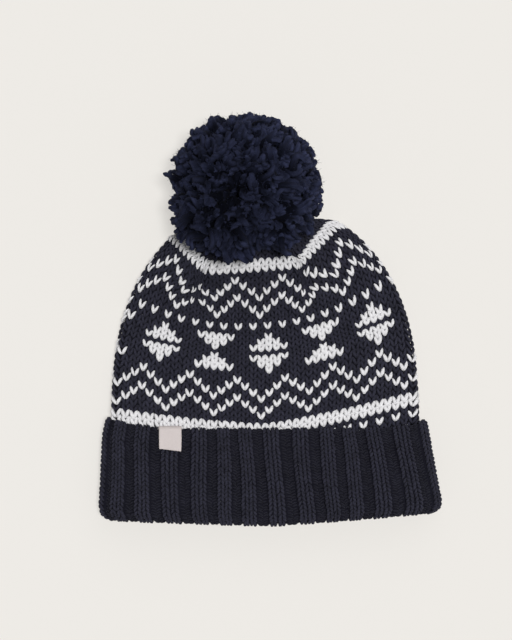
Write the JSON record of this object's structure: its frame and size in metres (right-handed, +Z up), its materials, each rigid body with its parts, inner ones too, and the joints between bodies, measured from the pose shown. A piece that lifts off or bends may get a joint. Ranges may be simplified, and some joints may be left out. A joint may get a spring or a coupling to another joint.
{
  "type": "pom pom beanie",
  "caption": "Knitted winter beanie lying flat, with a ribbed turn-up cuff, a patterned body gathered at the crown, a plain folded label and a large loose yarn pom pom.",
  "frame": {"origin": "centre of the bounding box on the surface that the hat lies on", "axes": "+Y along the hat from the mouth to the pom pom, +Z up out of the front face, +X to the right as seen from the front"},
  "size_m": [0.2374, 0.2886, 0.0999],
  "materials": {
    "patterned_knit": "matt jacquard knit in dark navy and off-white wool",
    "ribbed_knit": "matt ribbed knit in dark navy wool",
    "pom_yarn": "matt thick navy roving yarn",
    "tie_yarn": "matt plied navy yarn",
    "woven_label": "off-white woven tape"
  },
  "bodies": {
    "hat": {"knit_body": "patterned_knit", "inner_band": "ribbed_knit", "back_seam": "tie_yarn", "gather_cord": "tie_yarn", "tie_yarn": "tie_yarn"},
    "cuff": {"cuff": "ribbed_knit", "label_stitches": "woven_label"},
    "label": {"label": "woven_label"},
    "tie": {"tie_knot": "tie_yarn"},
    "pom": {"pom_pom": "pom_yarn", "pom_tie": "tie_yarn", "pom_binding": "tie_yarn"}
  },
  "joints": [
    {"name": "cuff_turn_down", "type": "slide", "parent": "hat", "child": "cuff", "axis": [0, -1, 0], "range_m": [0, 0.058]},
    {"name": "label_flip", "type": "hinge", "parent": "cuff", "child": "label", "pos_m": [-0.06927, -0.07591, 0.03205], "axis": [-1, 0, 0], "range_deg": [0, 150]},
    {"name": "pom_swing", "type": "hinge", "parent": "hat", "child": "tie", "pos_m": [-0.01627, 0.08021, 0.0083], "axis": [0, 0, 1], "range_deg": [-20, 20]},
    {"name": "pom_tip", "type": "hinge", "parent": "tie", "child": "pom", "pos_m": [-0.01627, 0.08021, 0.0083], "axis": [1, 0, 0], "range_deg": [0, 18]}
  ]
}
